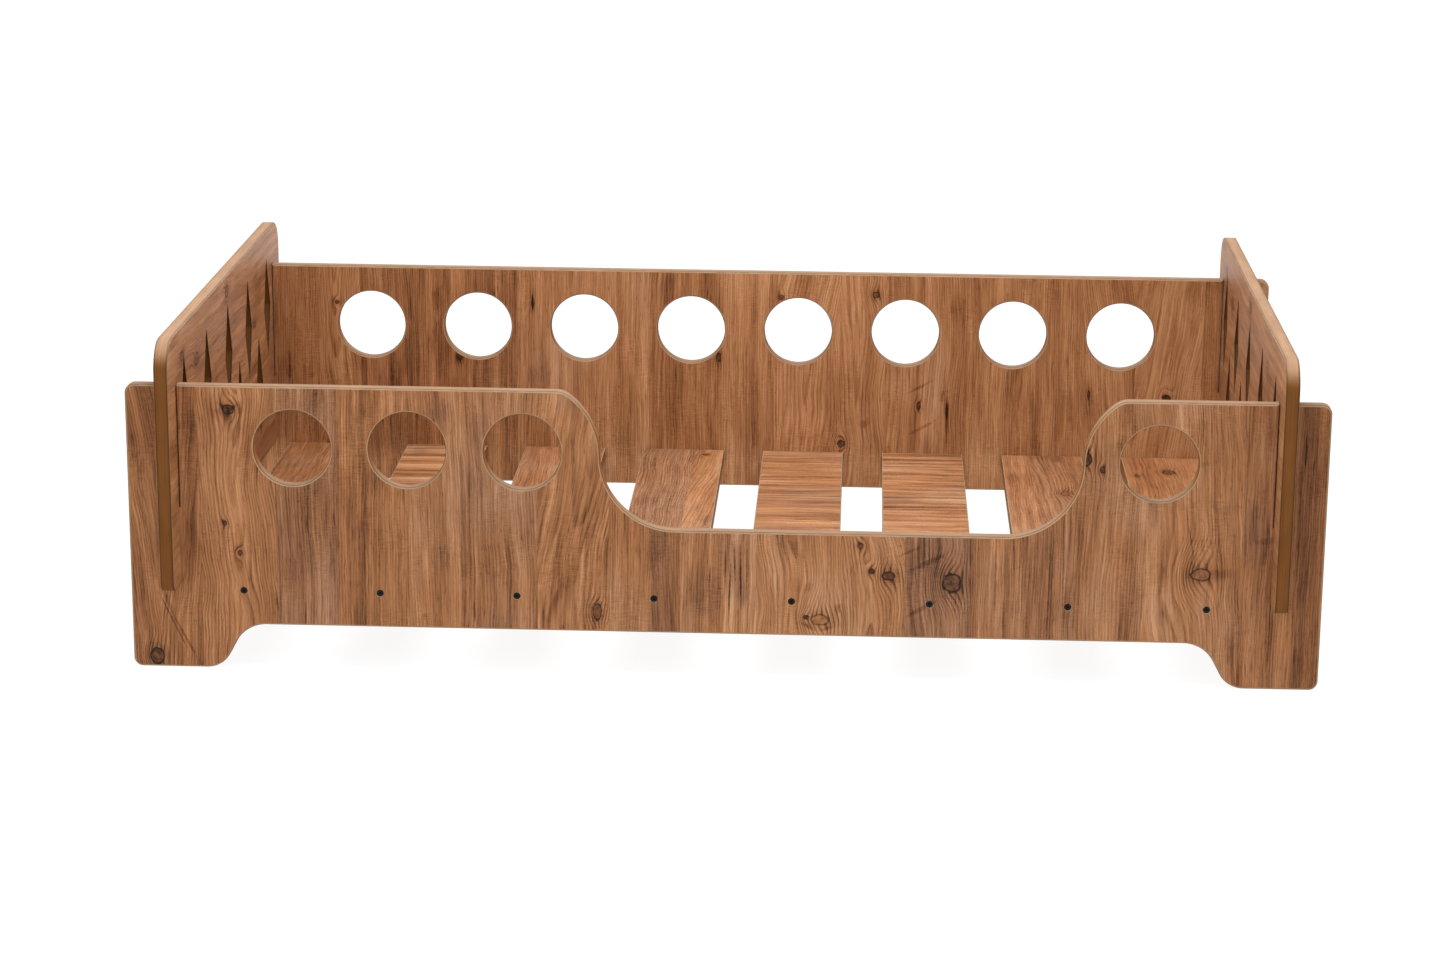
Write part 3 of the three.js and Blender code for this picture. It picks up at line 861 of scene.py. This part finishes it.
# (across, along, half length, half width, angle, how much darker) of each crack, slash, smudge and
# painted shadow
FRONT_MARKS = (
    (0.266, 0.163, 0.032, 0.0046, 28, 0.18), (0.256, 0.099, 0.026, 0.0040, 30, 0.18),
    (0.111, 0.073, 0.012, 0.0030, 150, 0.28), (0.134, 0.070, 0.011, 0.0028, 20, 0.26),
    (0.240, 0.176, 0.020, 0.0022, 24, 0.16), (0.149, 0.097, 0.009, 0.0050, 70, 0.20),
    (0.110, 0.125, 0.010, 0.0060, 60, 0.14), (0.601, 0.196, 0.028, 0.0012, 101, 0.26),
    (0.641, 0.154, 0.020, 0.0090, 5, 0.12), (0.610, 0.300, 0.014, 0.0050, 10, 0.12),
    (-0.581, 0.089, 0.016, 0.0022, 96, 0.26), (-0.323, 0.085, 0.018, 0.0022, 92, 0.28),
    (-0.332, 0.060, 0.012, 0.0016, 80, 0.22), (0.352, 0.140, 0.055, 0.0018, 90, 0.26),
    (0.421, 0.140, 0.090, 0.0016, 89, 0.24), (0.438, 0.180, 0.100, 0.0014, 91, 0.22),
    (-0.718, 0.062, 0.050, 0.0014, 115, 0.30), (-0.705, 0.045, 0.044, 0.0022, 117, 0.24),
    (-0.727, 0.095, 0.034, 0.0036, 112, 0.16), (-0.752, 0.275, 0.026, 0.0040, 88, 0.20),
    (-0.372, 0.320, 0.034, 0.0020, 92, 0.26), (-0.360, 0.355, 0.022, 0.0040, 95, 0.14),
    (-0.090, 0.175, 0.040, 0.0090, 86, 0.12), (0.023, 0.135, 0.045, 0.0018, 91, 0.40),
    (0.009, 0.120, 0.045, 0.0016, 88, 0.40), (0.015, 0.160, 0.030, 0.0014, 92, 0.40),
    (0.003, 0.150, 0.030, 0.0012, 90, 0.36), (0.031, 0.150, 0.040, 0.0012, 90, 0.36),
    (-0.757, 0.340, 0.090, 0.0300, 90, 0.16), (-0.638, 0.340, 0.016, 0.0040, 90, 0.22),
    (-0.631, 0.352, 0.010, 0.0025, 40, 0.20), (-0.646, 0.353, 0.010, 0.0025, 140, 0.18),
    (0.700, 0.200, 0.022, 0.0060, 4, 0.14), (0.755, 0.320, 0.100, 0.0200, 90, 0.08),
    (0.706, 0.090, 0.110, 0.0009, 90, 0.26),
)
BACK_MARKS = (
    (0.262, 0.217, 0.026, 0.0028, 28, 0.22), (0.267, 0.155, 0.028, 0.0030, 30, 0.20),
    (0.303, 0.165, 0.050, 0.0024, 90, 0.32), (0.296, 0.205, 0.014, 0.0030, 84, 0.28),
    (-0.459, 0.340, 0.026, 0.0090, 84, 0.14), (-0.426, 0.251, 0.016, 0.0100, 70, 0.12),
    (-0.316, 0.335, 0.016, 0.0020, 91, 0.28), (-0.528, 0.250, 0.060, 0.0050, 92, 0.12),
    (-0.106, 0.200, 0.070, 0.0040, 89, 0.12), (0.180, 0.160, 0.012, 0.0080, 40, 0.16),
    (0.540, 0.190, 0.060, 0.0030, 96, 0.16), (0.690, 0.300, 0.070, 0.0050, 90, 0.14),
    # A painted shadow: the shade low in the back face's left part, where it shows through the front's
    # second hole.
    (-0.560, 0.135, 0.120, 0.0500, 0, 0.14),
)
SLAT_CROSS_MARKS = (
    (0.318, 0.100, 0.046, 0.0018, 88, 0.34), (0.246, 0.075, 0.050, 0.0014, 91, 0.34),
    (0.215, 0.100, 0.060, 0.0020, 92, 0.36), (0.120, 0.090, 0.050, 0.0014, 89, 0.34),
    (0.020, 0.095, 0.055, 0.0016, 91, 0.34), (0.300, 0.262, 0.046, 0.0018, 91, 0.34),
    (0.190, 0.280, 0.060, 0.0020, 88, 0.36), (0.150, 0.255, 0.040, 0.0014, 92, 0.34),
    (0.060, 0.270, 0.055, 0.0018, 90, 0.34), (0.210, -0.445, 0.055, 0.0018, 91, 0.34),
    (0.080, -0.440, 0.050, 0.0016, 89, 0.34), (-0.040, 0.260, 0.050, 0.0016, 89, 0.30),
)
END_KNOTS = (
    (0.423, -0.004, 0.008, 0.012, 0.34), (0.406, -0.328, 0.006, 0.010, 0.34),
    (0.381, -0.231, 0.008, 0.013, 0.36), (0.330, 0.205, 0.004, 0.008, 0.32),
)
SLAT_KNOTS = (
    (0.628, 0.276, 0.009, 0.012, 0.30), (0.470, 0.147, 0.006, 0.010, 0.46),
    (-0.056, 0.330, 0.003, 0.005, 0.26), (0.581, 0.254, 0.003, 0.006, 0.30),
    (-0.100, -0.230, 0.014, 0.026, 0.60), (-0.430, -0.100, 0.006, 0.010, 0.40),
)

# a face's start, then (where a stave ends, tone, grey, lean, contrast, figure)
FRONT_STAVES = (
    -0.790,
    (-0.739, 0.57, -0.5, 0.12, 0.3, 0.3), (-0.680, 0.61, -0.1, -0.08, 0.5, 0.2),
    (-0.586, 0.63, -0.1, 0.00, 0.1, 1.0), (-0.500, 0.56, 0.7, 0.00, 0.6, 0.1),
    (-0.409, 0.59, 0.1, 0.00, 0.5, 0.0), (-0.342, 0.61, 0.4, 0.02, 0.2, 0.0),
    (-0.242, 0.57, 0.5, 0.02, 0.6, 0.2), (-0.149, 0.67, 0.3, -0.12, 0.6, 0.6),
    (-0.095, 0.61, 0.4, 0.00, 0.2, 0.0), (-0.058, 0.42, 0.5, 0.03, 0.4, 0.0),
    (-0.002, 0.66, 0.5, -0.03, 0.4, 0.0), (0.039, 0.72, 0.4, 0.00, 1.0, 0.0),
    (0.149, 0.73, 0.4, 0.02, 0.2, 0.9), (0.230, 0.71, 0.5, 0.05, 0.1, 1.0),
    (0.318, 0.53, 0.9, 0.05, 0.4, 0.4), (0.438, 0.56, 0.5, 0.00, 0.6, 0.0),
    (0.542, 0.63, 0.5, 0.00, 0.3, 0.2), (0.665, 0.67, 0.4, 0.04, 0.3, 0.5),
    (0.730, 0.52, 0.3, 0.00, 0.4, 0.0), (0.790, 0.43, -0.8, 0.00, 0.3, 0.0),
)
# The back face's tones run lighter than the front's: partly the print's own tone, partly painted light
# that makes up for the shade inside the bed.
BACK_STAVES = (
    -0.790,
    (-0.640, 0.62, -0.3, 0.00, 0.2, 0.1), (-0.580, 0.65, 0.0, 0.00, 0.1, 1.0),
    (-0.496, 0.51, 0.2, 0.00, 0.4, 0.1), (-0.410, 0.61, 0.0, 0.00, 0.6, 0.0),
    (-0.344, 0.59, 0.4, 0.00, 0.4, 0.0), (-0.291, 0.70, 0.3, 0.00, 0.4, 0.2),
    (-0.194, 0.74, 0.3, 0.00, 0.2, 0.0), (-0.143, 0.67, 0.2, 0.00, 0.2, 0.0),
    (-0.039, 0.61, 0.2, 0.00, 0.4, 0.2), (0.046, 0.76, 0.1, 0.00, 0.5, 0.0),
    (0.141, 0.80, 0.1, -0.05, 0.1, 0.8), (0.206, 0.73, 0.1, 0.00, 0.1, 0.7),
    (0.324, 0.70, 0.3, 0.00, 0.4, 0.3), (0.422, 0.65, 0.1, 0.00, 0.3, 0.0),
    (0.494, 0.71, -0.2, 0.00, 0.3, 0.0), (0.579, 0.70, -0.4, 0.12, 0.3, 0.3),
    (0.676, 0.81, -0.4, -0.10, 0.1, 0.4), (0.790, 0.72, -0.6, 0.00, 0.3, 0.1),
)
END_STAVES = (
    0.100,
    (0.165, 0.63, 0.0, 0.00, 0.3, 0.1), (0.262, 0.62, -0.3, 0.03, 0.4, 0.3),
    (0.355, 0.63, 0.0, -0.02, 0.3, 0.4), (0.460, 0.64, 0.2, 0.02, 0.3, 0.2),
)
SLAT_LONG_STAVES = (
    -0.700,
    (-0.620, 0.54, 0.5, 0.02, 0.3, 0.1), (-0.560, 0.60, 0.4, -0.04, 0.3, 0.0),
    (-0.310, 0.56, 0.6, 0.00, 0.3, 0.4), (-0.215, 0.60, 0.5, 0.03, 0.3, 0.0),
    (-0.074, 0.54, 0.8, 0.00, 0.1, 0.3), (0.100, 0.64, 0.4, -0.10, 0.3, 0.2),
    (0.425, 0.64, 0.4, 0.00, 0.3, 0.1), (0.550, 0.60, 0.6, 0.06, 0.1, 0.3),
    (0.700, 0.66, 0.3, 0.02, 0.0, 0.2),
)
SLAT_CROSS_STAVES = (
    -0.400,
    (-0.280, 0.62, 0.6, 0.02, 1.0, 0.0), (-0.190, 0.68, 0.4, -0.03, 1.0, 0.1),
    (-0.060, 0.63, 0.6, 0.02, 1.0, 0.0), (0.050, 0.69, 0.4, -0.02, 1.0, 0.2),
    (0.180, 0.62, 0.6, 0.00, 1.0, 0.0), (0.290, 0.69, 0.4, 0.02, 1.0, 0.1),
    (0.400, 0.62, 0.6, 0.00, 1.0, 0.0),
)

front_print = printed_material("front_print", FRONT_STAVES, FRONT_KNOTS, FRONT_MARKS)
back_print = printed_material("back_print", BACK_STAVES, BACK_KNOTS, BACK_MARKS)
end_print = printed_material("end_print", END_STAVES, END_KNOTS)
slat_print = printed_material("slat_print", SLAT_LONG_STAVES, SLAT_KNOTS)
slat_cross_print = printed_material("slat_cross_print", SLAT_CROSS_STAVES, (), SLAT_CROSS_MARKS)
hidden_side_print = printed_material(
    "hidden_side_print", plain_staves(11, 2.30, 3.90, 0.60),
    plain_knots(12, (2.4, 1.75), (3.8, 2.05), 9))
hidden_end_print = printed_material(
    "hidden_end_print", plain_staves(21, 3.15, 3.60, 0.60),
    plain_knots(22, (3.22, 1.35), (3.54, 2.05), 5))
hidden_slat_print = printed_material("hidden_slat_print", plain_staves(31, 2.30, 3.90, 0.62))
# The second number is the edge's brightness under the painted light where it faces up.
side_edge = edge_material("side_edge", 1.04, 1.17)
end_edge = edge_material("end_edge", 0.63, 1.38)
slat_edge = edge_material("slat_edge", 0.98, 0.98)
# Painted shade: the walls of cut-outs, slots and the slats' ends are dark and without reflection.
painted_shade_wall = edge_material("painted_shade_wall", 0.38, 0.38, 0.0)
black_oxide = black_steel()


def dress(piece, body, slot, node, *materials):
    for material in materials:
        piece.data.materials.append(material)
    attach(piece, body)
    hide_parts(node)


# ---- side panels ----

slat_centres = []
for i in range(SLATS):
    low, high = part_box(f"slat_{i + 1}")
    slat_centres.append((low + high) / 2)
screw_height = slat_centres[0].z


def add_side(node, name, has_entry, holes, seen_print, heads_below):
    low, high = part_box(node)
    outlines = [side_outline(high.x, high.z, has_entry)]
    outlines += [round_hole(x, HOLE_HEIGHT, HOLE_RADIUS) for x in holes]
    screws = [round_hole(c.x, screw_height, SCREW_HOLE_RADIUS, 0.0) for c in slat_centres]
    place = axes((1, 0, 0), (0, 0, 1), (0, (low.y + high.y) / 2, 0))
    piece = board(name, outlines, place, False, (), screws, heads_below)
    dress(piece, "bed_frame", "side_board", node, seen_print, hidden_side_print, side_edge,
          painted_shade_wall)


front_holes = [-OUTER_HOLE_X + i * FRONT_HOLE_PITCH for i in range(3)] + [OUTER_HOLE_X]
back_holes = [OUTER_HOLE_X * (2 * i / (BACK_HOLES - 1) - 1) for i in range(BACK_HOLES)]
add_side("front_side_panel", "front_side_board", True, front_holes, front_print, False)
add_side("back_side_panel", "back_side_board", False, back_holes, back_print, True)

# ---- end panels ----

for end, turn in (("left", 1), ("right", -1)):
    node = f"{end}_end_panel"
    low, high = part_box(node)
    outline = end_outline(high.y, low.z, high.z)
    diamonds = []
    for count, height in DIAMOND_ROWS:
        diamonds += [diamond((i - (count - 1) / 2) * DIAMOND_PITCH, height) for i in range(count)]
    place = axes((0, turn, 0), (0, 0, 1), ((low.x + high.x) / 2, 0, 0))
    piece = board(f"{end}_end_board", [outline], place, True, diamonds)
    dress(piece, f"{end}_end", "end_board", node, end_print, hidden_end_print, end_edge, painted_shade_wall)

# ---- slats and screws ----

CROSSWISE = (2, 5, 6)             # slats whose print runs across them

for i, centre in enumerate(slat_centres):
    node = f"slat_{i + 1}"
    low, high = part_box(node)
    # The slats' ends take SLOT_ROUNDING, so their walls are painted dark with shade.
    blunt, crisp = FINE_ROUNDING, SLOT_ROUNDING
    outline = [(low.x, low.y, crisp), (high.x, low.y, crisp),
               (high.x, low.y + SLOT_FADE, blunt), (high.x, high.y - SLOT_FADE, blunt),
               (high.x, high.y, crisp), (low.x, high.y, crisp),
               (low.x, high.y - SLOT_FADE, blunt), (low.x, low.y + SLOT_FADE, blunt)]
    place = axes((1, 0, 0), (0, 1, 0), (0, 0, centre.z))
    cross = i + 1 in CROSSWISE
    piece = board(f"slat_board_{i + 1}", [outline], place, cross)
    dress(piece, "bed_frame", "slat_board", node,
          slat_cross_print if cross else slat_print, hidden_slat_print, slat_edge, painted_shade_wall)
    for side, where in ((-1, "front"), (1, "back")):
        node = f"{where}_screw_{i + 1}"
        low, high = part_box(node)
        top = low.y if side < 0 else high.y
        place = Matrix.Translation((centre.x, top, screw_height))
        place = place @ Matrix.Rotation(-side * math.pi / 2, 4, "X")
        piece = screw(f"{where}_black_screw_{i + 1}", place)
        dress(piece, "bed_frame", "screw", node, black_oxide)

# ---- floor, lights and camera ----

FLOOR_REACH = 20.0


def pale_floor():
    """White paper, lit through from below like a light table so that its shadows stay pale."""
    material, g, shader = new_material("pale_floor")
    shader.inputs["Base Color"].default_value = (0.14, 0.14, 0.14, 1.0)
    shader.inputs["Roughness"].default_value = 0.9
    shader.inputs["Specular IOR Level"].default_value = 0.0
    shader.inputs["Emission Color"].default_value = (1.0, 1.0, 1.0, 1.0)
    shader.inputs["Emission Strength"].default_value = 0.90
    return material


floor_mesh = bpy.data.meshes.new("studio_floor")
corners = [(x * FLOOR_REACH, y * FLOOR_REACH, 0) for x, y in ((-1, -1), (1, -1), (1, 1), (-1, 1))]
floor_mesh.from_pydata(corners, [], [(0, 1, 2, 3)])
floor = bpy.data.objects.new("studio_floor", floor_mesh)
bpy.context.scene.collection.objects.link(floor)
floor_mesh.materials.append(pale_floor())

world = bpy.data.worlds.new("studio")
world.use_nodes = True
background = world.node_tree.nodes["Background"]
background.inputs["Color"].default_value = (1.0, 1.0, 1.0, 1.0)
background.inputs["Strength"].default_value = 1.0
bpy.context.scene.world = world


def softbox(name, place, target, size, power):
    light = bpy.data.lights.new(name, "AREA")
    light.shape = "SQUARE"
    light.size = size
    light.energy = power
    lamp = bpy.data.objects.new(name, light)
    lamp.location = place
    lamp.rotation_euler = (Vector(target) - Vector(place)).to_track_quat("-Z", "Y").to_euler()
    bpy.context.scene.collection.objects.link(lamp)


softbox("overhead", (0.0, -0.35, 2.4), (0.0, 0.0, 0.1), 1.8, 60.0)
softbox("front_key", (-1.0, -4.6, 3.2), (0.0, 0.0, 0.2), 2.5, 22.0)

CAMERA_PLACE = Vector((0.1708, -4.6730, 1.4278))
CAMERA_YAW = math.radians(-2.2971)
CAMERA_PITCH = math.radians(15.1327)
CAMERA_ROLL = math.radians(0.4877)
CAMERA_LENS = 86.38               # millimetres, for the sensor's width
SENSOR_WIDTH = 36.0

camera_data = bpy.data.cameras.new("camera")
camera_data.lens = CAMERA_LENS
camera_data.sensor_width = SENSOR_WIDTH
camera = bpy.data.objects.new("camera", camera_data)
ahead = Vector((math.sin(CAMERA_YAW) * math.cos(CAMERA_PITCH),
                math.cos(CAMERA_YAW) * math.cos(CAMERA_PITCH), -math.sin(CAMERA_PITCH)))
level = Vector((math.cos(CAMERA_YAW), -math.sin(CAMERA_YAW), 0))
upright = level.cross(ahead)
right = math.cos(CAMERA_ROLL) * level + math.sin(CAMERA_ROLL) * upright
up = math.cos(CAMERA_ROLL) * upright - math.sin(CAMERA_ROLL) * level
turned = Matrix((right, up, -ahead)).transposed().to_4x4()
camera.matrix_world = Matrix.Translation(CAMERA_PLACE) @ turned
bpy.context.scene.collection.objects.link(camera)
bpy.context.scene.camera = camera
bpy.context.scene.view_settings.view_transform = "Standard"
